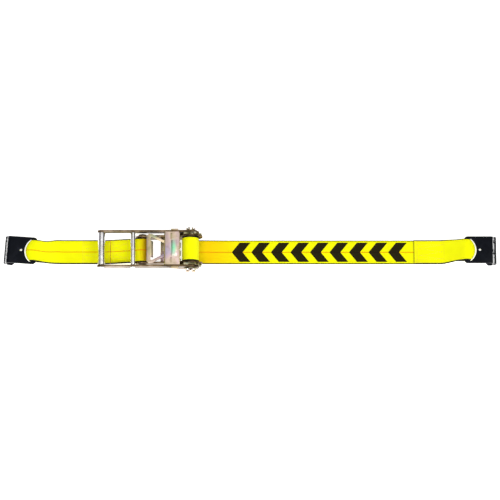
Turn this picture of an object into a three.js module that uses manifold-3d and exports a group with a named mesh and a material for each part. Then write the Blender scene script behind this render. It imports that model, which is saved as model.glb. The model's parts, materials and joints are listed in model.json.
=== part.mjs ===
// A two inch ratchet tie-down strap with flat hooks, laid out flat with its handle closed.
//
// Frame: millimetres, +Z up, +X along the strap from the ratchet end to the long strap's hook,
// +Y across the webbing. The origin is the centre of the whole object's footprint, on the floor.
// Each moving body is a THREE.Group whose own origin lies on the axis that it turns or slides on.

import * as THREE from "three";
import { mergeVertices } from "three/addons/utils/BufferGeometryUtils.js";
import Module from "manifold-3d";

const wasm = await Module();
wasm.setup();

// ---------------------------------------------------------------- driving dimensions
const WEBBING = { width: 50.8, thickness: 2.5, gathered: 45 };
const HALF_LENGTH = 510; // origin to the outside of each hook's bend
const GAP = 0.35; // between pieces that touch in the real object

const MANDREL = { x: -122.5, z: 24.5, radius: 10, halfSlot: 2, end: 46.5 };
const BOLT = { x: -222.5, z: 16, radius: 5, headAcrossFlats: 16, headThickness: 4.4 };

// Layers along Y on each side of the middle plane, from the webbing outwards.
const FRAME_PLATE = { inner: 26.6, outer: 29.6 };
const WHEEL = { inner: 30, outer: 34.4, tip: 23, root: 18, teeth: 12 };
const ARM = { inner: 35, outer: 38.4 };
const WASHER = { inner: 38.8, outer: 40.4, radius: 14 };
const COTTER_Y = 43.2;

const ROLL = { inner: 10.4, outer: 19 };
const CAM = { rim: 24.5, cut: 19, hole: 10.4 }; // the frame plate's round end
const EYE_AT_BOLT = 8;
const EYE_AT_HOOK = 5.6;

const HOOK = {
  width: 56,
  plate: 5,
  height: 28,
  barHalf: 4.5, // half the end bar, along the hook
  reach: 63, // end bar's centre to the outside of the bend
  lip: 21, // outside of the bend to the lip's tip
  hole: 2.6,
};
const LEFT_YAW = THREE.MathUtils.degToRad(-4);
const LEFT_BAR = { x: -445.3, y: -2.5 };
const RIGHT_BAR = { x: HALF_LENGTH - HOOK.reach, y: 0 };
const BAR_Z = HOOK.height - HOOK.plate / 2;

const SLOT = { half: 23.5, straight: -9.5, deepest: -21 }; // the hook's D-shaped slot
const LOOP = { reach: 17, clearance: 3 }; // the webbing's loose loop inside it

const GRIP = { x: -306.5, z: 33.5, radius: 7.7 };
const CROSSBAR = { x: -241.5, z: 35, radius: 4.8 };
const WEB_PLATE = { left: -177, right: -146.5, top: 43.4, thickness: 2.4, roll: 3.2 };
const HANDLE_PAWL = { tip: -144.9, bottom: 36, top: 39, ear: 42 };
const FRAME_PAWL = { tip: -142.6, shoulder: -157, bottom: 27, top: 30, halfWidth: 34.2 };
const GUIDE = { x: -176, thickness: 3 }; // the frame's cross plate
const LAP_END = { left: -289, right: 340 }; // where the sewn laps end, on top

// ---------------------------------------------------------------- materials
function metal(color, roughness, metalness = 1) {
  return new THREE.MeshStandardMaterial({ color, roughness, metalness });
}

const yellowZinc = metal(0xc9b27c, 0.35);
const brightZinc = metal(0xd5d8dc, 0.22);
const blackPaint = metal(0x14161a, 0.45, 0.3);
const springWire = metal(0x9a9788, 0.4);
const yellowWebbing = metal(0xf0ea10, 0.85, 0);

// ---------------------------------------------------------------- solids
/** A closed geometry as a manifold-3d solid. */
function solid(geometry) {
  const bare = geometry.clone();
  bare.deleteAttribute("normal");
  bare.deleteAttribute("uv");
  const merged = mergeVertices(bare, 1e-4);
  return new wasm.Manifold(
    new wasm.Mesh({
      numProp: 3,
      vertProperties: merged.attributes.position.array,
      triVerts: new Uint32Array(merged.index.array),
    }),
  );
}

/** A manifold-3d solid as a geometry. */
function geometryOf(manifold) {
  const { vertProperties, triVerts, numProp } = manifold.getMesh();
  const count = vertProperties.length / numProp;
  const position = new Float32Array(count * 3);
  for (let i = 0; i < count; i++) {
    position.set(vertProperties.subarray(i * numProp, i * numProp + 3), i * 3);
  }
  return new THREE.BufferGeometry()
    .setAttribute("position", new THREE.BufferAttribute(position, 3))
    .setIndex(new THREE.BufferAttribute(new Uint32Array(triVerts), 1));
}

/** A shape drawn in X and Z, as thick as y0 to y1. */
function acrossY(shape, y0, y1, curveSegments = 8) {
  return solid(
    new THREE.ExtrudeGeometry(shape, { depth: y1 - y0, bevelEnabled: false, curveSegments })
      .rotateX(Math.PI / 2)
      .translate(0, y1, 0),
  );
}

/** A shape drawn in X and Y, as thick as z0 to z1. */
function upZ(shape, z0, z1, curveSegments = 8) {
  return solid(
    new THREE.ExtrudeGeometry(shape, { depth: z1 - z0, bevelEnabled: false, curveSegments })
      .translate(0, 0, z0),
  );
}

function block(x0, x1, y0, y1, z0, z1) {
  return solid(
    new THREE.BoxGeometry(x1 - x0, y1 - y0, z1 - z0)
      .translate((x0 + x1) / 2, (y0 + y1) / 2, (z0 + z1) / 2),
  );
}

/** A round bar along Y. */
function rodY(radius, y0, y1, x = 0, z = 0, segments = 32) {
  return solid(
    new THREE.CylinderGeometry(radius, radius, y1 - y0, segments)
      .translate(x, (y0 + y1) / 2, z),
  );
}

/** A closed shape through the given points. */
function outline(points) {
  return new THREE.Shape(points.map(([a, b]) => new THREE.Vector2(a, b)));
}

function smoothstep(t) {
  return THREE.MathUtils.smoothstep(t, 0, 1);
}

function union(...solids) {
  return solids.reduce((all, next) => all.add(next));
}

function mirroredY(manifold) {
  return manifold.mirror([0, 1, 0]);
}

/** Adds a named mesh of a solid or geometry to a group. */
function addPiece(group, name, material, shape) {
  const geometry = shape.isBufferGeometry ? shape : geometryOf(shape);
  const mesh = new THREE.Mesh(geometry, material);
  mesh.name = name;
  group.add(mesh);
  return mesh;
}

/** A coil spring along X, from 0 to its length. */
function springGeometry(length, coilRadius, wireRadius, turns) {
  class Helix extends THREE.Curve {
    getPoint(t, target = new THREE.Vector3()) {
      const angle = t * turns * 2 * Math.PI;
      const x = wireRadius + t * (length - 2 * wireRadius);
      return target.set(x, coilRadius * Math.cos(angle), coilRadius * Math.sin(angle));
    }
  }
  const section = new THREE.Shape().absarc(0, 0, wireRadius, 0, 2 * Math.PI);
  return new THREE.ExtrudeGeometry(section, {
    extrudePath: new Helix(),
    steps: turns * 10,
    curveSegments: 3,
    bevelEnabled: false,
  });
}

// ---------------------------------------------------------------- frame
/** One frame side plate's outline, drawn in X and Z about the mandrel's axis. */
function framePlateShape() {
  const boss = { x: BOLT.x - MANDREL.x, z: BOLT.z - MANDREL.z, radius: 14 };
  const floor = -MANDREL.z;
  const shoulder = { x: -52, z: 10 };
  const shape = new THREE.Shape();
  const degrees = THREE.MathUtils.degToRad;
  shape.moveTo(0, floor);
  shape.absarc(0, 0, CAM.rim, degrees(-90), degrees(18), false); // release cam
  shape.absarc(0, 0, CAM.cut, degrees(26), degrees(124), false); // where the pawl may reach the teeth
  shape.absarc(0, 0, CAM.rim, degrees(130), degrees(156), false); // seat of the closed handle's pawl
  shape.lineTo(shoulder.x, shoulder.z);
  shape.absarc(boss.x, boss.z, boss.radius, degrees(84), degrees(250), false);
  shape.lineTo(boss.x + 22, floor);
  shape.closePath();

  const mandrelHole = new THREE.Path().absarc(0, 0, CAM.hole, 0, 2 * Math.PI, true);
  const boltHole = new THREE.Path().absarc(boss.x, boss.z, BOLT.radius + GAP, 0, 2 * Math.PI, true);
  const slotLow = FRAME_PAWL.bottom - MANDREL.z - GAP;
  const slotHigh = FRAME_PAWL.top - MANDREL.z + GAP;
  const slot = new THREE.Path([
    new THREE.Vector2(-44, slotLow),
    new THREE.Vector2(-44, slotHigh),
    new THREE.Vector2(-15.5, slotHigh),
    new THREE.Vector2(-15.5, slotLow),
  ]);
  shape.holes.push(mandrelHole, boltHole, slot);
  return shape;
}

/** The frame's cross plate stands between the side plates and guides the frame pawl's tongue. */
function guidePlate() {
  const half = FRAME_PLATE.inner - GAP;
  const { x, thickness } = GUIDE;
  const plate = block(x, x + thickness, -half, half, 19, 33);
  const foot = block(x - 9, x + 0.5, -half, half, 19, 21.5);
  const tongueHole = block(x - 1, x + thickness + 1, -4, 4, 26.2, 30.8);
  return union(plate, foot).subtract(tongueHole);
}

/** A hexagon prism along Y. */
function hexagon(acrossFlats, y0, y1) {
  return rodY(acrossFlats / Math.sqrt(3), y0, y1, BOLT.x, BOLT.z, 6);
}

function addFrame(group) {
  const sidePlate = acrossY(framePlateShape(), FRAME_PLATE.inner, FRAME_PLATE.outer, 14)
    .translate([MANDREL.x, 0, MANDREL.z]);
  addPiece(group, "frame_side_far", yellowZinc, sidePlate);
  addPiece(group, "frame_side_near", yellowZinc, mirroredY(sidePlate));
  addPiece(group, "frame_cross_plate", yellowZinc, guidePlate());

  const seat = FRAME_PLATE.outer + 0.3;
  const headOuter = seat + BOLT.headThickness;
  const shank = rodY(BOLT.radius, -seat - 0.1, headOuter, BOLT.x, BOLT.z);
  addPiece(
    group,
    "frame_bolt",
    yellowZinc,
    union(shank, hexagon(BOLT.headAcrossFlats, -headOuter, -seat)),
  );
  const nut = hexagon(BOLT.headAcrossFlats, seat, headOuter - 0.6)
    .subtract(rodY(BOLT.radius + 0.3, seat - 1, headOuter + 1, BOLT.x, BOLT.z));
  addPiece(group, "frame_bolt_nut", yellowZinc, nut);

  const tubeHalf = FRAME_PLATE.inner - 0.3;
  const tube = rodY(EYE_AT_BOLT - 0.4, -tubeHalf, tubeHalf, BOLT.x, BOLT.z)
    .subtract(rodY(BOLT.radius + 0.4, -tubeHalf - 1, tubeHalf + 1, BOLT.x, BOLT.z));
  addPiece(group, "frame_spacer_tube", yellowZinc, tube);
}

// ---------------------------------------------------------------- frame pawl
function addFramePawl(group) {
  const { tip, shoulder, bottom, top, halfWidth } = FRAME_PAWL;
  const guide = GUIDE.x;
  const side = acrossY(
    outline([
      [guide - 5, bottom],
      [tip - 2.4, bottom],
      [tip, top],
      [guide - 5, top],
    ]),
    -halfWidth,
    halfWidth,
  );
  const tongue = 3.4;
  const plan = outline([
    [tip + 1, -halfWidth - 1],
    [tip + 1, halfWidth + 1],
    [shoulder, halfWidth + 1],
    [shoulder, tongue],
    [guide - 6, tongue],
    [guide - 6, -tongue],
    [shoulder, -tongue],
    [shoulder, -halfWidth - 1],
  ]);
  const notchSpacing = 17;
  const notches = [-1, 0, 1].map((i) =>
    solid(
      new THREE.CylinderGeometry(2.6, 2.6, 8, 16)
        .rotateX(Math.PI / 2)
        .translate(tip, i * notchSpacing, (bottom + top) / 2),
    ),
  );
  const pawl = notches.reduce(
    (rest, notch) => rest.subtract(notch),
    side.intersect(upZ(plan, bottom - 1, top + 1)),
  );
  addPiece(group, "frame_pawl", yellowZinc, pawl);
}

/** The spring round the frame pawl's tongue, from the guide plate to the pawl's shoulder. */
function addFramePawlSpring(group) {
  const start = GUIDE.x + GUIDE.thickness + 0.3;
  const spring = addPiece(
    group,
    "frame_pawl_spring",
    springWire,
    springGeometry(FRAME_PAWL.shoulder - start - 0.3, 4.9, 0.55, 4),
  );
  spring.position.set(start, 0, (FRAME_PAWL.bottom + FRAME_PAWL.top) / 2);
}

// ---------------------------------------------------------------- mandrel, drawn about its axis
/** Half of the slotted mandrel's round section, on the side that sign says. */
function halfMoonShape(sign, halfSlot, radius) {
  const open = Math.acos(halfSlot / radius);
  const shape = new THREE.Shape();
  if (sign > 0) shape.absarc(0, 0, radius, -open, open, false);
  else shape.absarc(0, 0, radius, Math.PI - open, Math.PI + open, false);
  shape.closePath();
  return shape;
}

/** A ratchet wheel's outline, with steep faces towards falling angles and sloped backs. */
function wheelShape() {
  const { tip, root, teeth } = WHEEL;
  const pitch = 360 / teeth;
  const steepFace = 163; // degrees: this face stands over the frame pawl's tip
  const points = [];
  for (let i = 0; i < teeth; i++) {
    // Angles fall in the tightening direction: steep face, tooth top, then the back down to the root.
    for (const [turn, radius] of [[0, root], [0, tip], [5, tip], [27, root]]) {
      const angle = THREE.MathUtils.degToRad(steepFace - i * pitch - turn);
      points.push([radius * Math.cos(angle), radius * Math.sin(angle)]);
    }
  }
  const shape = outline(points.reverse());
  for (const sign of [-1, 1]) {
    shape.holes.push(halfMoonShape(sign, MANDREL.halfSlot - 0.3, MANDREL.radius + 0.3));
  }
  return shape;
}

/** A split pin through one half of the mandrel: two legs along Z, an eye above, spread tips below. */
function cotterGeometry() {
  const leg = solid(new THREE.CylinderGeometry(1.35, 1.35, 21, 12).rotateX(Math.PI / 2));
  const eye = solid(
    new THREE.TorusGeometry(2.3, 1.1, 8, 16).rotateX(Math.PI / 2).translate(0, 0, 12.7),
  );
  const tips = [-1, 1].map((side) =>
    solid(
      new THREE.CylinderGeometry(0.8, 1, 6, 8)
        .rotateX(Math.PI / 2)
        .translate(0, 0, -3)
        .rotateY(side * 0.75)
        .translate(0, 0, -10.4),
    ),
  );
  return union(leg, eye, ...tips);
}

function addMandrel(group) {
  const cotterX = 6.2;
  for (const [name, sign] of [["left", -1], ["right", 1]]) {
    const { halfSlot, radius, end } = MANDREL;
    const bar = acrossY(halfMoonShape(sign, halfSlot, radius), -end, end, 12);
    const holes = [-COTTER_Y, COTTER_Y].map((y) =>
      solid(
        new THREE.CylinderGeometry(1.75, 1.75, 30, 12)
          .rotateX(Math.PI / 2)
          .translate(sign * cotterX, y, 0),
      ),
    );
    const drilled = holes.reduce((rest, hole) => rest.subtract(hole), bar);
    addPiece(group, `mandrel_half_${name}`, yellowZinc, drilled);
    for (const [end_, y] of [["near", -COTTER_Y], ["far", COTTER_Y]]) {
      const pin = addPiece(group, `cotter_pin_${end_}_${name}`, brightZinc, cotterGeometry());
      pin.position.set(sign * cotterX, y, 0);
    }
  }

  const wheel = acrossY(wheelShape(), WHEEL.inner, WHEEL.outer, 12);
  addPiece(group, "ratchet_wheel_far", yellowZinc, wheel);
  addPiece(group, "ratchet_wheel_near", yellowZinc, mirroredY(wheel));

  const washer = rodY(WASHER.radius, WASHER.inner, WASHER.outer, 0, 0, 36)
    .subtract(rodY(MANDREL.radius + 0.4, WASHER.inner - 1, WASHER.outer + 1, 0, 0, 36));
  addPiece(group, "mandrel_washer_far", yellowZinc, washer);
  addPiece(group, "mandrel_washer_near", yellowZinc, mirroredY(washer));

  const half = WEBBING.width / 2;
  const tab = WEBBING.thickness / 2;
  const roll = rodY(ROLL.outer, -half, half, 0, 0, 48)
    .subtract(rodY(ROLL.inner, -half - 1, half + 1, 0, 0, 48))
    .add(block(-tab, tab, -half, half, -ROLL.inner - 0.5, ROLL.inner + 0.5));
  addPiece(group, "webbing_roll", yellowWebbing, roll);
}

// ---------------------------------------------------------------- handle, drawn about the mandrel's axis
/** One handle arm's outline in X and Z. */
function armShape() {
  const degrees = THREE.MathUtils.degToRad;
  const grip = { x: GRIP.x - MANDREL.x, z: GRIP.z - MANDREL.z };
  const topEdge = 42 - MANDREL.z;
  const shape = new THREE.Shape();
  shape.absarc(0, 0, 17.5, degrees(-125), degrees(80), false);
  shape.lineTo(-14, topEdge);
  shape.lineTo(grip.x + 2, topEdge);
  shape.absarc(grip.x, grip.z, 8.8, degrees(80), degrees(270), false);
  shape.lineTo(-52, -1);
  shape.closePath();

  const hole = (x, z, radius) =>
    shape.holes.push(new THREE.Path().absarc(x, z, radius, 0, 2 * Math.PI, true));
  hole(0, 0, CAM.hole);
  hole(grip.x, grip.z, 4.35);
  hole(CROSSBAR.x - MANDREL.x, CROSSBAR.z - MANDREL.z, 3.35);
  const slot = { left: -49, right: -23.4 };
  const low = HANDLE_PAWL.bottom - MANDREL.z - GAP;
  const high = HANDLE_PAWL.top - MANDREL.z + GAP;
  shape.holes.push(
    new THREE.Path([
      new THREE.Vector2(slot.left, low),
      new THREE.Vector2(slot.left, high),
      new THREE.Vector2(slot.right, high),
      new THREE.Vector2(slot.right, low),
    ]),
  );
  return shape;
}

/** A bar between the arms whose spigots pass through them and end in peened heads. */
function peenedBar(radius, spigot, head) {
  const half = ARM.inner - GAP;
  const outside = ARM.outer + GAP;
  const profile = [
    [0, -outside - 1.6],
    [head * 0.6, -outside - 1.6],
    [head, -outside - 0.6],
    [head, -outside],
    [spigot, -outside],
    [spigot, -half],
    [radius - 1, -half],
    [radius, -half + 1],
  ];
  const points = [...profile, ...profile.map(([r, y]) => [r, -y]).reverse()];
  return new THREE.LatheGeometry(points.map(([r, y]) => new THREE.Vector2(r, y)), 28);
}

/** The stamped plate over the pawl: a web, a rolled flange towards the grip, a tongue for the spring. */
function webPlate() {
  const { left, right, top, thickness, roll } = WEB_PLATE;
  const half = ARM.inner - GAP;
  const flangeFoot = 35;
  const web = block(left + 2, right, -half, half, top - thickness, top);
  const edge = rodY(roll, -half, half, left + roll, top - roll, 24)
    .subtract(block(left + roll, left + 8, -half - 1, half + 1, top - 8, top - thickness));
  const flange = block(left, left + thickness, -half, half, flangeFoot, top - 3);
  const pad = block(left + 14.5, right - 4, -17, 17, top - 1, top + 0.7);
  const windows = [-1, 1].map((side) =>
    block(
      left - 1,
      left + thickness + 1.4,
      side > 0 ? 3.4 : -21,
      side > 0 ? 21 : -3.4,
      flangeFoot - 1,
      HANDLE_PAWL.top + GAP,
    ),
  );
  const slots = [-1, 1].map((side) =>
    block(left + 13, left + 16, side > 0 ? 19 : -31, side > 0 ? 31 : -19, top - 4, top + 2),
  );
  return [...windows, ...slots].reduce(
    (rest, cut) => rest.subtract(cut),
    union(web, edge, flange, pad),
  );
}

function addHandle(group) {
  const arm = acrossY(armShape(), ARM.inner, ARM.outer, 14);
  addPiece(group, "handle_arm_far", yellowZinc, arm);
  addPiece(group, "handle_arm_near", yellowZinc, mirroredY(arm));

  const grip = addPiece(group, "handle_grip", brightZinc, peenedBar(GRIP.radius, 4, 6));
  grip.position.set(GRIP.x - MANDREL.x, 0, GRIP.z - MANDREL.z);
  const crossbar = addPiece(group, "handle_crossbar", brightZinc, peenedBar(CROSSBAR.radius, 3, 5));
  crossbar.position.set(CROSSBAR.x - MANDREL.x, 0, CROSSBAR.z - MANDREL.z);

  const web = webPlate().translate([-MANDREL.x, 0, -MANDREL.z]);
  addPiece(group, "handle_web_plate", yellowZinc, web);

  const start = WEB_PLATE.left + WEB_PLATE.roll + 0.3;
  const length = HANDLE_PAWL_WINDOW - start - 0.3;
  const spring = addPiece(
    group,
    "handle_pawl_spring",
    springWire,
    springGeometry(length, 2.2, 0.5, 6),
  );
  spring.position.set(start - MANDREL.x, 0, (HANDLE_PAWL.bottom + HANDLE_PAWL.top) / 2 - MANDREL.z);
}

// ---------------------------------------------------------------- handle pawl
const HANDLE_PAWL_WINDOW = -158; // the pull's opening ends here, where the spring pushes

/** The pawl's plan: a full-width tip with ears, and a pull that widens towards the finger bar. */
function handlePawlPlan() {
  const { tip, ear } = HANDLE_PAWL;
  const inside = ARM.inner - 0.5;
  const half = [
    [tip, inside],
    [-148, inside],
    [-148, ear],
    [-163, ear],
    [-163, inside],
    [-165, inside],
    [-165, 20],
    [-178, 17.6],
    [-202, 30.6],
    [-209, 31],
    [-213.4, 27],
  ];
  const shape = outline([...half, ...half.map(([x, y]) => [x, -y]).reverse()]);
  const opening = [
    [HANDLE_PAWL_WINDOW, 9],
    [-163, 11],
    [-178, 11.4],
    [-201, 24],
    [-204, 24.6],
    [-205.4, 22],
  ];
  shape.holes.push(outline([...opening, ...opening.map(([x, y]) => [x, -y]).reverse()]));
  return shape;
}

function addHandlePawl(group) {
  const { bottom, top } = HANDLE_PAWL;
  const plate = upZ(handlePawlPlan(), bottom, top);
  const flangeHalf = 17;
  const flange = acrossY(
    outline([
      [-206, top],
      [-206, bottom],
      [-204.6, bottom - 4],
      [-201.6, bottom - 8],
      [-199.8, bottom - 7],
      [-202.6, bottom - 2.6],
      [-203.4, top],
    ]),
    -flangeHalf,
    flangeHalf,
  );
  addPiece(
    group,
    "handle_pawl",
    yellowZinc,
    union(plate, flange).translate([-MANDREL.x, 0, -MANDREL.z]),
  );
}

// ---------------------------------------------------------------- flat hooks
/** The D-shaped slot's plan beside a hook's bar, smaller by inset at its curved side. */
function slotShape(start, inset) {
  const { half, straight, deepest } = SLOT;
  const sagitta = straight - deepest;
  const radius = (half ** 2 + sagitta ** 2) / (2 * sagitta);
  const centre = deepest + radius;
  const open = Math.asin(half / radius);
  const shape = new THREE.Shape();
  shape.moveTo(start, -half);
  shape.lineTo(start, half);
  shape.absarc(centre + inset, 0, radius, Math.PI - open, Math.PI + open, false);
  shape.closePath();
  return shape;
}

/** A flat hook that points to -X, drawn about its end bar's centre. */
function flatHook() {
  const { width, plate, height, barHalf, reach, lip, hole } = HOOK;
  const half = width / 2;
  const bend = { x: -reach + height / 2, z: -height / 2 + plate / 2, outer: height / 2 };
  bend.inner = bend.outer - plate;
  const tip = -reach + lip;
  const side = new THREE.Shape();
  side.moveTo(barHalf, plate / 2);
  side.lineTo(bend.x, plate / 2);
  side.absarc(bend.x, bend.z, bend.outer, Math.PI / 2, (3 * Math.PI) / 2, false);
  side.lineTo(tip, bend.z - bend.outer);
  side.lineTo(tip, bend.z - bend.inner);
  side.absarc(bend.x, bend.z, bend.inner, (3 * Math.PI) / 2, Math.PI / 2, true);
  side.lineTo(barHalf, -plate / 2);
  side.closePath();
  const body = acrossY(side, -half, half, 14);

  // The end bar's corners are round in plan, and the lip's corners are cut off.
  const corner = 7;
  const plan = new THREE.Shape();
  plan.moveTo(-reach - 1, -half);
  plan.lineTo(barHalf - corner, -half);
  plan.absarc(barHalf - corner, -half + corner, corner, -Math.PI / 2, 0, false);
  plan.absarc(barHalf - corner, half - corner, corner, 0, Math.PI / 2, false);
  plan.lineTo(-reach - 1, half);
  plan.closePath();
  const rounded = body.intersect(upZ(plan, -height, height));
  const lipCorners = [-1, 1].map((s) =>
    upZ(
      outline([
        [tip - 5, s * (half + 1)],
        [tip + 1, s * (half - 5)],
        [tip + 1, s * (half + 1)],
      ].slice().sort((a, b) => (s > 0 ? 1 : -1) * (a[0] - b[0]))),
      -height,
      -plate / 2 - 1,
    ),
  );

  const slot = slotShape(-barHalf, 0);
  const nailHole = new THREE.Shape().absarc(-28, 0, hole, 0, 2 * Math.PI, false);

  return [
    ...lipCorners,
    upZ(slot, -plate, plate, 20),
    upZ(nailHole, -plate, plate, 10),
  ].reduce((rest, cut) => rest.subtract(cut), rounded);
}

// ---------------------------------------------------------------- webbing
/** A band of even thickness along a line of points in X and Z. */
function bandShape(line, thickness) {
  const offset = (side) =>
    line.map(([x, z], i) => {
      const [x0, z0] = line[Math.max(i - 1, 0)];
      const [x1, z1] = line[Math.min(i + 1, line.length - 1)];
      const length = Math.hypot(x1 - x0, z1 - z0);
      const push = (side * thickness) / 2 / length;
      return [x - (z1 - z0) * push, z + (x1 - x0) * push];
    });
  return outline([...offset(-1), ...offset(1).reverse()]);
}

/** Points from x0 to x1 at the height that a function of x gives. */
function lineAlong(x0, x1, step, height) {
  const count = Math.ceil((x1 - x0) / step);
  return Array.from({ length: count + 1 }, (_, i) => {
    const x = x0 + ((x1 - x0) * i) / count;
    return [x, height(x)];
  });
}

function ringY(inner, thickness, x, z, half) {
  return rodY(inner + thickness, -half, half, x, z, 32);
}

/** The loose loop round a hook's bar, which fills the hook's slot; side is the way it points. */
function hookLoop(x, half, side) {
  const stretch = (inner) => LOOP.reach - WEBBING.thickness + inner;
  const oval = (reach, height, y) =>
    rodY(1, -y, y).scale([reach, 1, height]).intersect(block(-reach, 0, -y, y, -height, height));
  const round = (radius, y) => rodY(radius, -y, y).intersect(block(0, radius, -y, y, -radius, radius));
  const outerHeight = EYE_AT_HOOK + WEBBING.thickness;
  const outer = union(oval(stretch(WEBBING.thickness), outerHeight, half), round(outerHeight, half));
  const inner = union(oval(stretch(0), EYE_AT_HOOK, half + 1), round(EYE_AT_HOOK, half + 1));
  const plan = upZ(slotShape(12, LOOP.clearance), -20, 20, 10)
    .scale([1, WEBBING.width / WEBBING.gathered, 1]);
  const solids = [outer.intersect(plan), inner].map((shape) =>
    shape.rotate([0, 0, side < 0 ? 0 : 180]).translate([x, 0, BAR_Z]),
  );
  return { loop: solids[0], opening: solids[1] };
}

/** Narrows the webbing to pass through a hook's slot, which lies beyond barX. */
function gather(point, barX) {
  const share = smoothstep((Math.abs(point.x) - Math.abs(barX) + 50) / 38);
  point.y *= 1 - share * (1 - WEBBING.gathered / WEBBING.width);
}

/** Turns the short strap's far end a little in plan, as its hook lies. */
function swing(point) {
  const share = smoothstep((LEFT_BAR.x + 50 - point.x) / 35);
  const angle = share * LEFT_YAW;
  const dx = point.x - LEFT_BAR.x;
  const y = point.y;
  point.x = LEFT_BAR.x + dx * Math.cos(angle) - y * Math.sin(angle);
  point.y = LEFT_BAR.y * share + dx * Math.sin(angle) + y * Math.cos(angle);
}

/** Moves each vertex of a solid. */
function warped(manifold, move) {
  const geometry = geometryOf(manifold);
  const position = geometry.attributes.position;
  const point = new THREE.Vector3();
  for (let i = 0; i < position.count; i++) {
    point.fromBufferAttribute(position, i);
    move(point);
    position.setXYZ(i, point.x, point.y, point.z);
  }
  return geometry;
}

/** Height of the short strap's middle: down from the hook, along the floor, up to the bolt. */
function shortStrapHeight(x) {
  const floor = WEBBING.thickness;
  const fromHook = 1 - smoothstep((x - (LEFT_BAR.x + 5)) / 52);
  const toBolt = smoothstep((x + 308) / 76);
  return floor + (BAR_Z - floor) * fromHook + (BOLT.z + 3 - floor) * toBolt;
}

function shortStrap() {
  const half = WEBBING.width / 2;
  const t = WEBBING.thickness;
  const line = lineAlong(LEFT_BAR.x + 5, BOLT.x - 8, 6, shortStrapHeight);
  const lap = acrossY(bandShape(line, 2 * t), -half, half);
  const { loop, opening } = hookLoop(LEFT_BAR.x, half, -1);
  const whole = union(
    lap,
    loop,
    ringY(EYE_AT_BOLT, t, BOLT.x, BOLT.z, half),
  )
    .subtract(opening)
    .subtract(rodY(EYE_AT_BOLT, -half - 1, half + 1, BOLT.x, BOLT.z));
  return warped(whole, (point) => {
    gather(point, LEFT_BAR.x);
    swing(point);
  });
}

function longStrap() {
  const half = WEBBING.width / 2;
  const t = WEBBING.thickness;
  const start = MANDREL.x - 1.5;
  const startHeight = MANDREL.z - ROLL.outer - GAP - t / 2;
  const single = lineAlong(start, LAP_END.right + 4, 16, (x) =>
    t / 2 + (startHeight - t / 2) * (1 - smoothstep((x - start) / 80)),
  );
  const barX = RIGHT_BAR.x;
  const lap = lineAlong(LAP_END.right, barX - 5, 6, (x) =>
    t + (BAR_Z - t) * smoothstep((x - (barX - 57)) / 52),
  );
  const { loop, opening } = hookLoop(barX, half, 1);
  const whole = union(
    acrossY(bandShape(single, t), -half, half),
    acrossY(bandShape(lap, 2 * t), -half, half),
    loop,
  ).subtract(opening);
  return warped(whole, (point) => gather(point, barX * Math.sign(point.x || 1)));
}

// ---------------------------------------------------------------- assembly
const tieDown = new THREE.Group();

const frameGroup = new THREE.Group();
addFrame(frameGroup);
addFramePawlSpring(frameGroup);
addPiece(frameGroup, "short_strap", yellowWebbing, shortStrap());
addPiece(frameGroup, "long_strap", yellowWebbing, longStrap());

const framePawlGroup = new THREE.Group();
addFramePawl(framePawlGroup);

const mandrelGroup = new THREE.Group();
mandrelGroup.position.set(MANDREL.x, 0, MANDREL.z);
addMandrel(mandrelGroup);

const handleGroup = new THREE.Group();
handleGroup.position.set(MANDREL.x, 0, MANDREL.z);
addHandle(handleGroup);
const handlePawlGroup = new THREE.Group();
addHandlePawl(handlePawlGroup);
handleGroup.add(handlePawlGroup);

const leftHookGroup = new THREE.Group();
leftHookGroup.position.set(LEFT_BAR.x, LEFT_BAR.y, BAR_Z);
leftHookGroup.rotation.z = LEFT_YAW;
addPiece(leftHookGroup, "left_flat_hook", blackPaint, flatHook());

const rightHookGroup = new THREE.Group();
rightHookGroup.position.set(RIGHT_BAR.x, RIGHT_BAR.y, BAR_Z);
rightHookGroup.rotation.z = Math.PI;
addPiece(rightHookGroup, "right_flat_hook", blackPaint, flatHook());

tieDown.add(frameGroup, framePawlGroup, mandrelGroup, handleGroup, leftHookGroup, rightHookGroup);

export default tieDown;
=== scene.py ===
"""A two inch ratchet tie-down strap, dressed over its CAD frame. Lengths are in metres."""

import json
import math

import bmesh
import bpy
from mathutils import Matrix, Vector


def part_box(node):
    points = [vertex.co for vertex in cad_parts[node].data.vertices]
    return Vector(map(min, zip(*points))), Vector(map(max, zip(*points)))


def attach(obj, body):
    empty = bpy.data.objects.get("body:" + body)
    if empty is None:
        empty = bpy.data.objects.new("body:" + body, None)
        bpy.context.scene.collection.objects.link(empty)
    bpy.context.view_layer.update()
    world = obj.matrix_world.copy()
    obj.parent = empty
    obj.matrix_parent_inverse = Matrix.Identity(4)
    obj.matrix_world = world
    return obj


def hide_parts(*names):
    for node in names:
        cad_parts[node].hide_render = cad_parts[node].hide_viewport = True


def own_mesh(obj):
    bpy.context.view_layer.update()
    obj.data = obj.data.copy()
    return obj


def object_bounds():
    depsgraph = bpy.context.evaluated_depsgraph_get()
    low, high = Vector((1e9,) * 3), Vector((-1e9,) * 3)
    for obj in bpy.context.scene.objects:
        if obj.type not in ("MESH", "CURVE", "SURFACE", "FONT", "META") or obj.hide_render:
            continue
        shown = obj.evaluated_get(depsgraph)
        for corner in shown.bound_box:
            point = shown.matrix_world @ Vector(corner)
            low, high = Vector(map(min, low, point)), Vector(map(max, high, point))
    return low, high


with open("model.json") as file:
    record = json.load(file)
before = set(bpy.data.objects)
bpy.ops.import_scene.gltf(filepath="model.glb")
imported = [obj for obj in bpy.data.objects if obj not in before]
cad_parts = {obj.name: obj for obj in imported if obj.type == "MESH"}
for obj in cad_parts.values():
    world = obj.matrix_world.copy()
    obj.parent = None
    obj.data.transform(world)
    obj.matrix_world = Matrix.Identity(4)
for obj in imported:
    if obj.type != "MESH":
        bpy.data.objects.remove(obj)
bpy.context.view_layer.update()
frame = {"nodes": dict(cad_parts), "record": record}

# ------------------------------------------------------------ driving dimensions
WIDTH = 0.0508
THICKNESS = 0.0024
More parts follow.
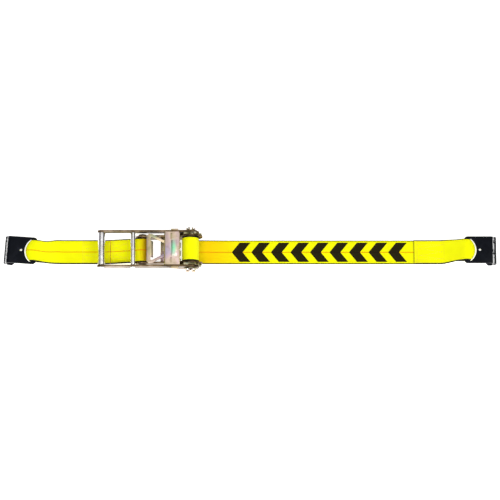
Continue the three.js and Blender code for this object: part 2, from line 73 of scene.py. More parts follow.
LAYER = 0.00128  # a lap's middle to the middle of each of its two layers
GATHERED = 0.045  # the webbing's width inside a hook's slot

BOLT = Vector((-0.2225, 0.016))
BOLT_EYE = 0.0093  # to the middle of the webbing
LEFT_BAR = Vector((-0.4453, 0.0255))
LEFT_BAR_Y = -0.0025
LEFT_YAW = math.radians(-4)
RIGHT_BAR = Vector((0.447, 0.0255))
HOOK_EYE = 0.0069
MANDREL = Vector((-0.1225, 0.0245))
ROLL_OUTER = 0.0177
ROLL_INNER = 0.01165
ROLL_TURNS = 2.5
SLOT_EDGE = 0.021  # the hook's slot, from the bar's centre to its curved side's middle
SLOT_CLEARANCE = 0.0026
SLOT_RADIUS = 0.02976
LAP_END_LEFT = -0.289
LAP_END_RIGHT = 0.340

LONG_START = MANDREL.x - 0.0005
PRINT_START = -0.038
PRINT_END = 0.327
PRINT_HALF = 0.0205
CHEVRONS = 9
PRINT_PITCH = (PRINT_END - PRINT_START) / CHEVRONS

STEPS_IN_A_TURN = 24  # of a wound spring
CAMERA_ELEVATION = math.radians(77)
CAMERA_DISTANCE = 6.0
CAMERA_WIDTH = 1.0335  # what the picture spans at the object


# ------------------------------------------------------------ material building
class Nodes:
    """A short way to build a material's node tree."""

    def __init__(self, name):
        self.material = bpy.data.materials.new(name)
        self.material.use_nodes = True
        self.tree = self.material.node_tree
        self.shader = self.tree.nodes["Principled BSDF"]

    def add(self, kind, inputs=None, **settings):
        node = self.tree.nodes.new(kind)
        for key, value in settings.items():
            setattr(node, key, value)
        for key, value in (inputs or {}).items():
            self.put(node.inputs[key], value)
        return node

    def put(self, socket, value):
        if isinstance(value, bpy.types.NodeSocket):
            self.tree.links.new(value, socket)
        else:
            socket.default_value = value

    def shade(self, **inputs):
        for key, value in inputs.items():
            self.put(self.shader.inputs[key.replace("_", " ")], value)

    def math(self, operation, a, b=0.0, clamp=False):
        node = self.add("ShaderNodeMath", {0: a, 1: b}, operation=operation, use_clamp=clamp)
        return node.outputs[0]

    def noise(self, vector, scale, detail=3.0, roughness=0.5):
        inputs = {"Vector": vector, "Scale": scale, "Detail": detail, "Roughness": roughness}
        return self.add("ShaderNodeTexNoise", inputs).outputs["Fac"]

    def ramp(self, factor, stops):
        node = self.add("ShaderNodeValToRGB", {"Fac": factor})
        elements = node.color_ramp.elements
        while len(elements) < len(stops):
            elements.new(0.5)
        for element, (position, color) in zip(elements, stops):
            element.position = position
            element.color = (*color, 1)
        return node.outputs["Color"]

    def mix(self, factor, a, b, blend="MIX"):
        node = self.add("ShaderNodeMix", data_type="RGBA", blend_type=blend)
        self.put(node.inputs[0], factor)
        self.put(node.inputs[6], (*a, 1) if isinstance(a, tuple) else a)
        self.put(node.inputs[7], (*b, 1) if isinstance(b, tuple) else b)
        return node.outputs[2]

    def bump(self, height, distance, strength=1.0):
        inputs = {"Height": height, "Distance": distance, "Strength": strength}
        return self.add("ShaderNodeBump", inputs).outputs["Normal"]

    def place(self):
        """Position in the row frame, in metres."""
        return self.add("ShaderNodeTexCoord").outputs["Object"]

    def band(self, value, low, high):
        """1 between low and high, else 0."""
        above = self.math("GREATER_THAN", value, low)
        below = self.math("LESS_THAN", value, high)
        return self.math("MULTIPLY", above, below)


def zinc_material(name, stops, roughness, patches=32.0, painted_highlights=()):
    """Zinc plating with soft iridescent patches, rolling marks and small dull specks, and any painted
    highlights given as soft coloured spots.
    """
    n = Nodes(name)
    place = n.place()
    tint = n.ramp(n.noise(place, patches, 2.0), stops)
    specks = n.noise(place, 900.0, 4.0, 0.65)
    dull = n.math("MULTIPLY_ADD", specks, 0.22)
    dull.node.inputs[2].default_value = roughness - 0.1
    grime = n.ramp(n.noise(place, 140.0, 4.0), [(0.33, (0.68, 0.64, 0.57)), (0.5, (1, 1, 1))])
    # Painted highlights: each is a soft spot of colour, strongest at its middle, standing in for a
    # reflection.
    for middle, reach, tone in painted_highlights:
        away = n.add("ShaderNodeVectorMath", {0: place, 1: middle}, operation="SUBTRACT").outputs[0]
        scaled = n.add("ShaderNodeVectorMath", {0: away, 1: reach}, operation="DIVIDE").outputs[0]
        size = n.add("ShaderNodeVectorMath", {0: scaled}, operation="LENGTH").outputs["Value"]
        tint = n.mix(n.math("SUBTRACT", 1.0, size, clamp=True), tint, tone)
    n.shade(
        Base_Color=n.mix(0.55, tint, grime, "MULTIPLY"),
        Metallic=1.0,
        Roughness=dull,
        Normal=n.bump(specks, 0.00006, 0.35),
    )
    return n.material


def rubbed_and_highlit_bend(n, place):
    """A light band along each hook's bend, in broken patches: partly rubbed-off paint, partly a painted
    highlight.
    """
    split = n.add("ShaderNodeSeparateXYZ", {0: place})
    x, y, _ = split.outputs
    left = n.math("LESS_THAN", x, 0.0)
    lean = n.math("MULTIPLY", n.math("MULTIPLY", y, math.sin(-LEFT_YAW)), left)
    out = n.math("ADD", n.math("ABSOLUTE", x), lean)
    broken = n.math("GREATER_THAN", n.noise(place, 210.0, 3.0, 0.7), 0.44)
    return n.math("MULTIPLY", n.band(out, 0.5016, 0.5046), broken)


def black_paint_material():
    """Dipped black paint: a little uneven, with dusty patches and a light band on the bends, partly rubbed
    paint and partly painted highlight.
    """
    n = Nodes("black_paint")
    place = n.place()
    cloud = n.noise(place, 55.0, 5.0, 0.6)
    color = n.ramp(
        cloud,
        [(0.3, (0.002, 0.0025, 0.004)), (0.62, (0.004, 0.005, 0.008)), (0.78, (0.009, 0.010, 0.018))],
    )
    # Light band on each bend: rubbed paint and a painted highlight.
    color = n.mix(n.math("MULTIPLY", rubbed_and_highlit_bend(n, place), 0.8), color, (0.6, 0.6, 0.6))
    peel = n.noise(place, 520.0, 2.0)
    rough = n.math("MULTIPLY_ADD", cloud, 0.3)
    rough.node.inputs[2].default_value = 0.24
    n.shade(
        Base_Color=color,
        Roughness=rough,
        Specular_IOR_Level=0.05,
        Normal=n.bump(peel, 0.00012, 0.5),
    )
    return n.material


def spring_material():
    n = Nodes("spring_wire")
    drawn = n.noise(n.place(), 1400.0, 2.0)
    n.shade(
        Base_Color=n.ramp(drawn, [(0.3, (0.2, 0.19, 0.16)), (0.7, (0.5, 0.48, 0.42))]),
        Metallic=1.0,
        Roughness=0.38,
    )
    return n.material


def painted_shade_tint(n, color, middle, reach, tone):
    """Painted shade: the webbing's yellow turns orange-brown near the ratchet, standing in for the shade
    the ratchet casts on it.
    """
    x = n.add("ShaderNodeSeparateXYZ", {0: n.place()}).outputs[0]
    away = n.math("DIVIDE", n.math("ABSOLUTE", n.math("SUBTRACT", x, middle)), reach)
    near = n.math("SUBTRACT", 1.0, away, clamp=True)
    return n.mix(near, color, tone)


def webbing_material(name, shade_spot=None, printed=False, traced_face=None):
    """Yellow polyester webbing: chevron weave, darkened edges, an orange tracer, black print.

    The tracer shows on both faces, or only on traced_face: 1 or -1, to either side of the path.
    """
    n = Nodes(name)
    split = n.add("ShaderNodeSeparateXYZ")
    web = n.add("ShaderNodeAttribute", attribute_name="web").outputs["Vector"]
    n.put(split.inputs[0], web)
    along, across, face = split.outputs
    side = n.math("ABSOLUTE", across)

    # Weave: yarns along the strap, crossed by a zigzag that turns every 6.35 mm.
    zigzag = n.math("PINGPONG", across, 0.00635)
    warp = n.math("SINE", n.math("MULTIPLY", across, 2 * math.pi / 0.00085))
    twill = n.math("SINE", n.math("MULTIPLY", n.math("ADD", along, zigzag), 2 * math.pi / 0.0022))
    weave = n.math("ADD", n.math("MULTIPLY", warp, 0.5), twill)
    fibre = n.noise(web, 2600.0, 2.0)
    height = n.math("ADD", weave, fibre)
    shade = n.math("MULTIPLY_ADD", weave, 0.09)
    shade.node.inputs[2].default_value = 0.5

    cloud = n.noise(n.place(), 22.0, 3.0)
    sunny = n.ramp(cloud, [(0.3, (0.84, 0.86, 0.0)), (0.7, (0.93, 0.97, 0.0))])
    # Painted shade: an orange tint near the ratchet, where the ratchet's shade falls on the webbing.
    if shade_spot:
        sunny = painted_shade_tint(n, sunny, *shade_spot)
    yarns = n.mix(n.math("MULTIPLY", fibre, 0.22), sunny, (0.74, 0.62, 0.0))
    shaded = n.mix(shade, (0.92, 0.90, 0.5), (1.0, 1.0, 1.0))
    color = n.mix(1.0, yarns, shaded, "MULTIPLY")

    tracer = n.band(side, -1.0, 0.0007)
    if traced_face:
        shown = n.math("GREATER_THAN", n.math("MULTIPLY", face, traced_face), 0.5)
        tracer = n.math("MULTIPLY", tracer, shown)
    color = n.mix(n.math("MULTIPLY", tracer, 0.95), color, (0.70, 0.13, 0.0))
    faint = n.band(side, 0.0196, 0.0202)
    color = n.mix(n.math("MULTIPLY", faint, 0.35), color, (0.55, 0.42, 0.01))
    # The edges, rounded sides included, are coloured near black.
    edge = n.band(side, 0.0232, 1.0)
    color = n.mix(edge, color, (0.022, 0.02, 0.008))

    if printed:
        color = n.mix(print_mask(n, along, across, face, fibre), color, (0.006, 0.003, 0.002))
    n.shade(
        Base_Color=color,
        Roughness=0.78,
        Specular_IOR_Level=0.08,
        Sheen_Weight=0.03,
        Sheen_Roughness=0.5,
        Normal=n.bump(height, 0.00022, 0.8),
    )
    return n.material


def print_mask(n, along, across, face, fibre):
    """A row of bold chevrons on the upper face, worn a little between the yarns."""
    pointed = n.math("SUBTRACT", along, n.math("MULTIPLY", n.math("ABSOLUTE", across), 0.8))
    start = PRINT_START - LONG_START
    step = n.math("MODULO", n.math("SUBTRACT", pointed, start), PRINT_PITCH)
    bars = n.band(step, 0.0, PRINT_PITCH * 0.56)
    length = n.band(pointed, start, start + PRINT_END - PRINT_START - PRINT_PITCH * 0.4)
    inside = n.math("MULTIPLY", n.band(across, -PRINT_HALF, PRINT_HALF), length)
    upper = n.math("GREATER_THAN", face, 0.5)
    kept = n.math("MULTIPLY_ADD", n.math("GREATER_THAN", fibre, 0.72), -0.2)
    kept.node.inputs[2].default_value = 0.99
    return n.math("MULTIPLY", n.math("MULTIPLY", bars, inside), n.math("MULTIPLY", upper, kept))


def sealed_material(name, dark, light):
    """Webbing ends melted by a hot knife: glossier and darker than the weave."""
    n = Nodes(name)
    drops = n.noise(n.place(), 420.0, 3.0)
    n.shade(
        Base_Color=n.ramp(drops, [(0.35, dark), (0.65, light)]),
        Roughness=0.42,
        Normal=n.bump(drops, 0.0003, 0.6),
    )
    return n.material


def thread_material():
    n = Nodes("sewing_thread")
    twist = n.noise(n.place(), 1500.0, 2.0)
    n.shade(
        Base_Color=n.ramp(twist, [(0.3, (0.55, 0.36, 0.002)), (0.7, (0.84, 0.70, 0.004))]),
        Roughness=0.6,
        Sheen_Weight=0.3,
    )
    return n.material


def floor_material():
    n = Nodes("floor")
    grain = n.noise(n.place(), 300.0, 2.0)
    n.shade(
        Base_Color=n.ramp(grain, [(0.0, (0.88, 0.88, 0.88)), (1.0, (0.92, 0.92, 0.92))]),
        Roughness=0.9,
        Emission_Color=(1, 1, 1, 1),
        Emission_Strength=0.75,
    )
    return n.material


# ------------------------------------------------------------ metal parts
def rounded_shading():
    """A node group that shades smooth, with edges sharper than 50 degrees kept crisp."""
    group = bpy.data.node_groups.new("rounded_shading", "GeometryNodeTree")
    group.interface.new_socket("Geometry", in_out="INPUT", socket_type="NodeSocketGeometry")
    group.interface.new_socket("Geometry", in_out="OUTPUT", socket_type="NodeSocketGeometry")
    source = group.nodes.new("NodeGroupInput")
    result = group.nodes.new("NodeGroupOutput")
    faces = group.nodes.new("GeometryNodeSetShadeSmooth")
    edges = group.nodes.new("GeometryNodeSetShadeSmooth")
    edges.domain = "EDGE"
    edges.inputs["Shade Smooth"].default_value = False
    angle = group.nodes.new("GeometryNodeInputMeshEdgeAngle")
    sharp = group.nodes.new("FunctionNodeCompare")
    sharp.data_type = "FLOAT"
    sharp.operation = "GREATER_THAN"
    sharp.inputs[1].default_value = math.radians(50)
    group.links.new(source.outputs[0], faces.inputs["Geometry"])
    group.links.new(faces.outputs[0], edges.inputs["Geometry"])
    group.links.new(angle.outputs["Unsigned Angle"], sharp.inputs[0])
    group.links.new(sharp.outputs[0], edges.inputs["Selection"])
    group.links.new(edges.outputs[0], result.inputs[0])
    return group


def finish_metal(name, material, edge, shading):
    """Gives a CAD node its material and small rounded edges."""
    part = frame["nodes"][name]
    part.data.materials.clear()
    part.data.materials.append(material)
    weld = part.modifiers.new("weld", "WELD")
    weld.merge_threshold = 0.00002
    bevel = part.modifiers.new("edges", "BEVEL")
    bevel.width = edge
    bevel.segments = 2
    bevel.limit_method = "ANGLE"
    bevel.angle_limit = math.radians(40)
    part.modifiers.new("shading", "NODES").node_group = shading


def coil_spring(name, start, length, coil, wire, turns):
    """A wound spring along X from its fixed end, with its end turns closer together."""
    mesh = bmesh.new()
    rows = []
    steps = turns * STEPS_IN_A_TURN
    for i in range(steps + 1):
        share = i / steps
        angle = share * turns * 2 * math.pi
        closed = 0.5 - 0.5 * math.cos(math.pi * share)
        x = wire + (0.55 * share + 0.45 * closed) * (length - 2 * wire)
        out = Vector((0, math.cos(angle), math.sin(angle)))
        middle = Vector(start) + Vector((x, 0, 0)) + out * coil
        rows.append([
            mesh.verts.new(middle + wire * (math.cos(t) * out + Vector((math.sin(t), 0, 0))))
            for t in (2 * math.pi * k / 8 for k in range(8))
        ])
    close_tube(mesh, rows)
    return piece_from(mesh, name, spring_wire)


def close_tube(mesh, rows):
    """Faces between rings of vertices, and over the two ends."""
    count = len(rows[0])
    for one, two in zip(rows, rows[1:]):
        for k in range(count):
            mesh.faces.new((one[k], two[k], two[(k + 1) % count], one[(k + 1) % count]))
    mesh.faces.new(list(rows[0]))
    mesh.faces.new(list(reversed(rows[-1])))
    bmesh.ops.recalc_face_normals(mesh, faces=mesh.faces)


# ------------------------------------------------------------ webbing
def smoothstep(t):
    t = min(max(t, 0.0), 1.0)
    return t * t * (3 - 2 * t)


def spaced(a, b, step):
    count = max(1, round(abs(b - a) / step))
    return [a + (b - a) * i / count for i in range(count + 1)]


def eye(centre, mid, radius):
    """The webbing's line from a lap's upper layer round a bar and back to its lower layer."""
    along = centre - mid
    reach = along.length
    along.normalize()
    up = Vector((-along.y, along.x))
    if up.y < 0:
        up = -up
    start = math.atan2(LAYER, -reach) - math.acos(radius / math.hypot(reach, LAYER))
    count = 22
    turns = [start - 2 * start * i / count for i in range(count + 1)]
    arc = [centre + radius * (math.cos(a) * along + math.sin(a) * up) for a in turns]
    return [mid + LAYER * up, *arc, mid - LAYER * up]


def layer(heights, xs, offset):
    """Points beside a lap's middle line, to one side of it."""
    points = []
    for x in xs:
        slope = Vector((0.002, heights(x + 0.001) - heights(x - 0.001))).normalized()
        points.append(Vector((x - slope.y * offset, heights(x) + slope.x * offset)))
    return points


def short_height(x):
    """Height of the short strap's middle: down from the hook, along the floor, up to the bolt."""
    floor = THICKNESS / 2 + LAYER + 0.0001
    from_hook = 1 - smoothstep((x - (LEFT_BAR.x + 0.005)) / 0.052)
    to_bolt = smoothstep((x + 0.308) / 0.076)
    return floor + (LEFT_BAR.y - floor) * from_hook + (BOLT.y - floor) * to_bolt


def long_height(x):
    """Height of the long strap's middle under its lap and up to the right hook."""
    floor = THICKNESS / 2 + LAYER + 0.0001
    return floor + (RIGHT_BAR.y - floor) * smoothstep((x - (RIGHT_BAR.x - 0.057)) / 0.052)


def short_path():
    hook_mid = Vector((LEFT_BAR.x + 0.021, short_height(LEFT_BAR.x + 0.021)))
    bolt_mid = Vector((BOLT.x - 0.024, short_height(BOLT.x - 0.024)))
    to_hook = layer(short_height, spaced(LAP_END_LEFT - 0.0006, hook_mid.x + 0.003, 0.005), LAYER)
    under = layer(short_height, spaced(hook_mid.x + 0.003, bolt_mid.x - 0.003, 0.005), -LAYER)
    back = layer(short_height, spaced(bolt_mid.x - 0.003, LAP_END_LEFT + 0.0006, 0.005), LAYER)
    round_bolt = list(reversed(eye(BOLT, bolt_mid, BOLT_EYE)))
    return to_hook + eye(LEFT_BAR, hook_mid, HOOK_EYE) + under + round_bolt + back


def long_path():
    start = LONG_START
    drop = MANDREL.y - ROLL_OUTER - THICKNESS / 2 - 0.0026
    floor = THICKNESS / 2 + 0.0001
    run = [
        Vector((x, floor + (drop - floor) * (1 - smoothstep((x - start) / 0.08))))
        for x in spaced(start, RIGHT_BAR.x - 0.062, 0.008)
    ]
    mid = Vector((RIGHT_BAR.x - 0.021, long_height(RIGHT_BAR.x - 0.021)))
    rise = layer(long_height, spaced(RIGHT_BAR.x - 0.057, mid.x - 0.003, 0.005), -LAYER)
    back = layer(long_height, spaced(mid.x - 0.003, LAP_END_RIGHT, 0.005), LAYER)
    return run + rise + list(reversed(eye(RIGHT_BAR, mid, HOOK_EYE))) + back


def roll_path():
    """The spiral on the mandrel, from its outer end below to its inner end in the slot."""
    count = int(ROLL_TURNS * 40)
    points = []
    for i in range(count + 1):
        share = i / count
        angle = -math.pi / 2 - share * ROLL_TURNS * 2 * math.pi
        radius = ROLL_OUTER + share * (ROLL_INNER - ROLL_OUTER)
        points.append(MANDREL + radius * Vector((math.cos(angle), math.sin(angle))))
    return points


def slot_path():
    return [MANDREL + Vector((0, z)) for z in spaced(-0.0098, 0.0098, 0.002)]


def section():
    """The webbing's cross-section as (share of half width, share of half thickness)."""
    top = [(a, 1.0) for a in (0.968, 0.88, 0.75, 0.5, 0.25, 0.0, -0.25, -0.5, -0.75, -0.88, -0.968)]
    left = [(-0.992, 0.7), (-1.0, 0.0), (-0.992, -0.7)]
    return top + left + [(-a, -b) for a, b in top] + [(-a, -b) for a, b in left]


def ribbon(name, path, material, shape=None, thickness=THICKNESS):
    """A strip of webbing along a line of (x, z) points; shape moves each point in place."""
    ring = section()
    mesh = bmesh.new()
    web = mesh.verts.layers.float_vector.new("web")
    rows = []
    travelled = 0.0
    for i, point in enumerate(path):
        before = path[max(i - 1, 0)]
        after = path[min(i + 1, len(path) - 1)]
        travelled += (point - before).length
        tangent = (after - before).normalized()
        normal = Vector((-tangent.y, tangent.x))
        row = []
        for a, b in ring:
            p = point + normal * b * thickness / 2
            place = Vector((p.x, a * WIDTH / 2, p.y))
            vertex = mesh.verts.new(shape(place) if shape else place)
            vertex[web] = (travelled, a * WIDTH / 2, b)
            row.append(vertex)
        rows.append(row)
    close_tube(mesh, rows)
    return piece_from(mesh, name, material), travelled


def piece_from(mesh, name, material, smooth=True):
    data = bpy.data.meshes.new(name)
    mesh.to_mesh(data)
    mesh.free()
    for polygon in data.polygons:
        polygon.use_smooth = smooth
    data.set_sharp_from_angle(angle=math.radians(50))
    data.materials.append(material)
    piece = bpy.data.objects.new(name, data)
    bpy.context.scene.collection.objects.link(piece)
    return piece


def slot_reach(y):
    """How far the webbing reaches past a hook's bar, to follow the slot's curved side."""
    curve = SLOT_EDGE - SLOT_RADIUS + math.sqrt(SLOT_RADIUS**2 - min(abs(y), 0.0235) ** 2)
    return curve - SLOT_CLEARANCE


def gathered(bar):
    """Narrows the webbing into a hook's slot, and fills the slot out to its curved side."""
    side = math.copysign(1, bar.x)

    def shape(p):
        share = smoothstep((abs(p.x) - abs(bar.x) + 0.050) / 0.038) if p.x * bar.x > 0 else 0
        y = p.y * (1 - share * (1 - GATHERED / WIDTH))
        past = (p.x - bar.x) * side
        if past > 0:
            past *= slot_reach(y) / (HOOK_EYE + THICKNESS / 2)
        return Vector((bar.x + side * past, y, p.z))

    return shape


def short_shape(p):
    """Narrows the short strap at its hook and turns that end a little in plan."""
    p = gathered(LEFT_BAR)(p)
    share = smoothstep((LEFT_BAR.x + 0.050 - p.x) / 0.035)
    turn = share * LEFT_YAW
    dx = p.x - LEFT_BAR.x
    return Vector((
        LEFT_BAR.x + dx * math.cos(turn) - p.y * math.sin(turn),
        LEFT_BAR_Y * share + dx * math.sin(turn) + p.y * math.cos(turn),
        p.z,
    ))


# ------------------------------------------------------------ stitching
def add_stitch(mesh, a, b, radius=0.0004):
    """One raised thread between two points on the webbing's surface."""
    direction = b - a
    turn = direction.to_track_quat("X", "Z").to_matrix().to_4x4()
    size = Matrix.Diagonal((direction.length * 0.44, radius, radius * 0.9, 1))
    place = Matrix.Translation((a + b) / 2) @ turn @ size
    bmesh.ops.create_uvsphere(mesh, u_segments=6, v_segments=5, radius=1.0, matrix=place)


def box_pattern(x0, x1):
    """The lines of a sewn box: rows along the strap, and a W between its ends."""
    rows = [((x0, y), (x1, y)) for y in (-0.0225, -0.0150, 0.0150, 0.0225)]
    ends = [((x, -0.0225), (x, 0.0225)) for x in (x0, x0 + 0.003, x1)]
    marks = spaced(-0.0150, 0.0150, 0.0075)
    inner, outer = x0 + 0.006, x1 - 0.003
    zigzag = [
        ((inner if i % 2 else outer, marks[i]), (outer if i % 2 else inner, marks[i + 1]))
        for i in range(len(marks) - 1)
    ]
    return rows + ends + zigzag


def stitching(name, x0, x1, heights, shape):
    """Thread laid on a lap's upper face."""
    mesh = bmesh.new()
    lift = LAYER + THICKNESS / 2 + 0.0001

    def on_lap(x, y):
        return shape(Vector((x, y, heights(x) + lift)))

    pitch = 0.0042
    for (ax, ay), (bx, by) in box_pattern(x0, x1):
        length = math.hypot(bx - ax, by - ay)
        count = max(1, round(length / pitch))
        for i in range(count):
            s, t = i / count, (i + 1) / count
            start = on_lap(ax + (bx - ax) * s, ay + (by - ay) * s)
            end = on_lap(ax + (bx - ax) * t, ay + (by - ay) * t)
            add_stitch(mesh, start, end)
    return piece_from(mesh, name, thread)


def sealed_end(name, x, heights, shape, material):
    """The heat-sealed edge of a lap, as a slightly lumpy bead across the webbing."""
    mesh = bmesh.new()
    rows = []
    for i, y in enumerate(spaced(-WIDTH / 2, WIDTH / 2, 0.0012)):
        radius = 0.00075 * (1 + 0.12 * math.sin(i * 2.4) + 0.08 * math.sin(i * 5.1))
        middle = shape(Vector((x, y, heights(x) + LAYER + THICKNESS / 2 - 0.0002)))
        turns = [2 * math.pi * k / 8 for k in range(8)]
        rows.append([
            mesh.verts.new(middle + Vector((radius * math.cos(t), 0, radius * 0.8 * math.sin(t))))
            for t in turns
        ])
    close_tube(mesh, rows)
    return piece_from(mesh, name, material)


# ------------------------------------------------------------ stage
def add_camera():
    """Nearly overhead, from the near side, with a long lens."""
    low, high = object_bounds()
    middle = (Vector(low) + Vector(high)) / 2
    camera = bpy.data.cameras.new("camera")
    camera.sensor_width = 36
    camera.lens = camera.sensor_width * CAMERA_DISTANCE / CAMERA_WIDTH
    holder = bpy.data.objects.new("camera", camera)
    away = Vector((0, -math.cos(CAMERA_ELEVATION), math.sin(CAMERA_ELEVATION)))
    holder.location = middle + away * CAMERA_DISTANCE
    holder.rotation_euler = (math.pi / 2 - CAMERA_ELEVATION, 0, 0)
    bpy.context.scene.collection.objects.link(holder)
    bpy.context.scene.camera = holder


def add_softbox(name, place, size, power, target=(0, 0, 0)):
    light = bpy.data.lights.new(name, "AREA")
    light.shape = "RECTANGLE"
    light.size, light.size_y = size
    light.energy = power
    holder = bpy.data.objects.new(name, light)
    holder.location = place
    holder.rotation_euler = (Vector(target) - Vector(place)).to_track_quat("-Z", "Y").to_euler()
    bpy.context.scene.collection.objects.link(holder)


def add_floor():
    mesh = bmesh.new()
    bmesh.ops.create_grid(mesh, x_segments=2, y_segments=2, size=6)
    floor = piece_from(mesh, "floor", floor_material(), smooth=False)
    floor.location.z = -0.0004


def add_world():
    """A bright ceiling over dark walls, so that metal has something to reflect."""
    world = bpy.data.worlds.new("world")
    bpy.context.scene.world = world
    world.use_nodes = True
    tree = world.node_tree
    background = tree.nodes["Background"]
    direction = tree.nodes.new("ShaderNodeTexCoord")
    split = tree.nodes.new("ShaderNodeSeparateXYZ")
    ramp = tree.nodes.new("ShaderNodeValToRGB")
    ramp.color_ramp.elements[0].position = 0.28
    ramp.color_ramp.elements[0].color = (0.06, 0.06, 0.065, 1)
    ramp.color_ramp.elements[1].position = 0.8
    ramp.color_ramp.elements[1].color = (0.95, 0.95, 0.95, 1)
    tree.links.new(direction.outputs["Generated"], split.inputs[0])
    stripe = tree.nodes.new("ShaderNodeValToRGB")
    stripe.color_ramp.interpolation = "EASE"
    stops = [(0.0, 0.9), (0.13, 0.9), (0.20, 0.03), (0.27, 0.03), (0.34, 1.0), (0.83, 1.0), (0.90, 0.25)]
    while len(stripe.color_ramp.elements) < len(stops):
        stripe.color_ramp.elements.new(0.5)
    for element, (position, level) in zip(stripe.color_ramp.elements, stops):
        element.position = position
        element.color = (level, level, level, 1)
    half = tree.nodes.new("ShaderNodeMath")
    half.operation = "MULTIPLY_ADD"
    half.inputs[1].default_value = 0.5
    half.inputs[2].default_value = 0.5
    both = tree.nodes.new("ShaderNodeMix")
    both.data_type = "RGBA"
    both.blend_type = "MULTIPLY"
    both.inputs[0].default_value = 1.0
    tree.links.new(split.outputs[2], ramp.inputs[0])
    tree.links.new(split.outputs[0], half.inputs[0])
    tree.links.new(half.outputs[0], stripe.inputs[0])
    tree.links.new(ramp.outputs[0], both.inputs[6])
    tree.links.new(stripe.outputs[0], both.inputs[7])
    tree.links.new(both.outputs[2], background.inputs["Color"])
    background.inputs["Strength"].default_value = 1.15


add_camera()
add_world()
add_floor()
add_softbox("softbox_left", (-1.1, -1.3, 2.3), (1.4, 1.0), 30, (-0.2, 0, 0))
add_softbox("softbox_right", (1.3, -0.9, 2.2), (1.4, 1.0), 30, (0.1, 0, 0))
add_softbox("softbox_top", (0, -1.2, 2.6), (2.2, 0.6), 16)
bpy.context.scene.view_settings.view_transform = "Standard"

# ------------------------------------------------------------ metal
yellow_zinc = zinc_material(
    "yellow_zinc",
    [
        (0.28, (0.36, 0.40, 0.26)),
        (0.42, (0.50, 0.41, 0.24)),
        (0.52, (0.58, 0.46, 0.36)),
        (0.60, (0.50, 0.36, 0.36)),
        (0.74, (0.42, 0.36, 0.46)),
    ],
    0.36,
)
dark_zinc = zinc_material(
    "dark_zinc",
    [
        (0.30, (0.10, 0.10, 0.045)),
        (0.45, (0.20, 0.19, 0.085)),
        (0.58, (0.38, 0.33, 0.20)),
        (0.70, (0.24, 0.26, 0.19)),
    ],
    0.32,
    90.0,
)
brown_zinc = zinc_material(
    "brown_zinc",
    [(0.30, (0.06, 0.038, 0.018)), (0.50, (0.17, 0.115, 0.06)), (0.66, (0.34, 0.25, 0.18))],
    0.34,
)
plate_zinc = zinc_material(
    "plate_zinc",
    [
        (0.32, (0.54, 0.44, 0.29)),
        (0.48, (0.66, 0.52, 0.42)),
        (0.60, (0.62, 0.46, 0.48)),
        (0.74, (0.54, 0.45, 0.56)),
    ],
    0.36,
    # Painted reflection: a green spot on the web plate; painted highlight: a bright yellow line along its
    # folded flange.
    painted_highlights=(
        ((-0.1580, 0.001, 0.0435), (0.0075, 0.021, 0.02), (0.26, 0.86, 0.48)),
        ((-0.1765, 0.0, 0.0420), (0.0022, 0.2, 0.02), (0.95, 0.85, 0.25)),
    ),
)
bright_zinc = zinc_material(
    "bright_zinc",
    [(0.3, (0.62, 0.60, 0.52)), (0.5, (0.86, 0.86, 0.84)), (0.7, (0.78, 0.76, 0.82))],
    0.24,
)
black_paint = black_paint_material()
spring_wire = spring_material()
thread = thread_material()
finishes = {
    "yellow_zinc": (yellow_zinc, 0.00035),
    "bright_zinc": (bright_zinc, 0.0002),
    "black_paint": (black_paint, 0.0011),
}
# Parts given another zinc tone than their slot's: browner arms and side plates, darker wheels, bolt,
# washers and pawl, and the web plate with its painted highlights.
zinc_by_part = {
    "handle_arm_far": brown_zinc,
    "handle_arm_near": brown_zinc,
    "frame_side_far": brown_zinc,
    "frame_side_near": brown_zinc,
    "ratchet_wheel_far": dark_zinc,
    "ratchet_wheel_near": dark_zinc,
    "frame_bolt": dark_zinc,
    "frame_bolt_nut": dark_zinc,
    "mandrel_washer_far": dark_zinc,
    "mandrel_washer_near": dark_zinc,
    "frame_pawl": dark_zinc,
    "handle_web_plate": plate_zinc,
}
crisp = rounded_shading()
for subpart in frame["record"]["subparts"]:
    node, slot = subpart["node"], subpart["material_slot"]
    if slot in finishes:
        material, edge = finishes[slot]
        finish_metal(node, zinc_by_part.get(node, material), edge, crisp)

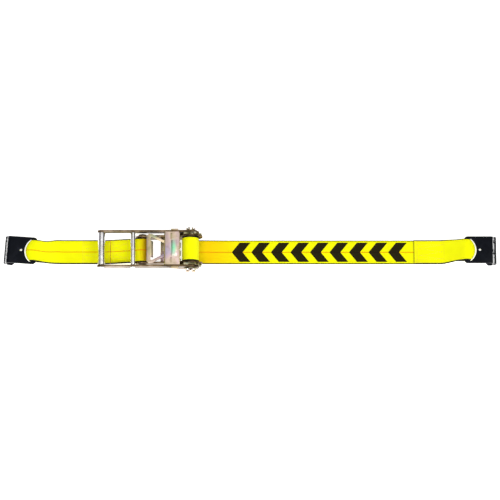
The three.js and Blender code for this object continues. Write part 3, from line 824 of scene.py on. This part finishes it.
for node, body, joint, coil, wire, turns, travel in (
    ("frame_pawl_spring", "frame", "frame_pawl_pull", 0.0049, 0.00055, 5, 0.005),
    ("handle_pawl_spring", "handle", "handle_pawl_pull", 0.0022, 0.0005, 7, 0.007),
):
    low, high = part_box(node)
    length = high.x - low.x
    fixed_end = (low.x, (low.y + high.y) / 2, (low.z + high.z) / 2)
    spring = coil_spring("wound_" + node, fixed_end, length, coil, wire, turns)
    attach(spring, body)
    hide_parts(node)
    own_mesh(spring)

# ------------------------------------------------------------ webbing pieces
# The long and short webbing get painted orange shade near the ratchet; the rolled webbing gets none.
long_webbing = webbing_material("long_webbing", (-0.084, 0.085, (0.90, 0.60, 0.0)), True, traced_face=1)
short_webbing = webbing_material("short_webbing", (-0.210, 0.026, (0.42, 0.11, 0.0)))
plain_webbing = webbing_material("plain_webbing", traced_face=-1)

short_strap, short_length = ribbon("short_webbing", short_path(), short_webbing, short_shape)
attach(short_strap, "frame")
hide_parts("short_strap")

long_strap, long_length = ribbon("long_webbing", long_path(), long_webbing, gathered(RIGHT_BAR))
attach(long_strap, "frame")
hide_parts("long_strap")

roll, roll_length = ribbon("rolled_webbing", roll_path(), plain_webbing, thickness=0.0023)
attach(roll, "mandrel")
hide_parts("webbing_roll")

tab, tab_length = ribbon("webbing_in_slot", slot_path(), plain_webbing, thickness=0.0023)
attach(tab, "mandrel")

for name, x0, x1, heights, shape in (
    ("left_lap_stitching", LAP_END_LEFT - 0.058, LAP_END_LEFT - 0.004, short_height, short_shape),
    ("bolt_lap_stitching", LAP_END_LEFT + 0.004, LAP_END_LEFT + 0.036, short_height, short_shape),
    ("right_lap_stitching", LAP_END_RIGHT + 0.004, LAP_END_RIGHT + 0.062, long_height, gathered(RIGHT_BAR)),
):
    sewn = stitching(name, x0, x1, heights, shape)
    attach(sewn, "frame")

ORANGE_MELT = ((0.36, 0.12, 0.0), (0.58, 0.27, 0.0))
BROWN_MELT = ((0.07, 0.05, 0.0), (0.26, 0.18, 0.0))
for name, x, heights, shape, tones in (
    ("left_sealed_end", LAP_END_LEFT, short_height, short_shape, ORANGE_MELT),
    ("right_sealed_end", LAP_END_RIGHT, long_height, gathered(RIGHT_BAR), BROWN_MELT),
):
    bead = sealed_end(name, x, heights, shape, sealed_material(name, *tones))
    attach(bead, "frame")
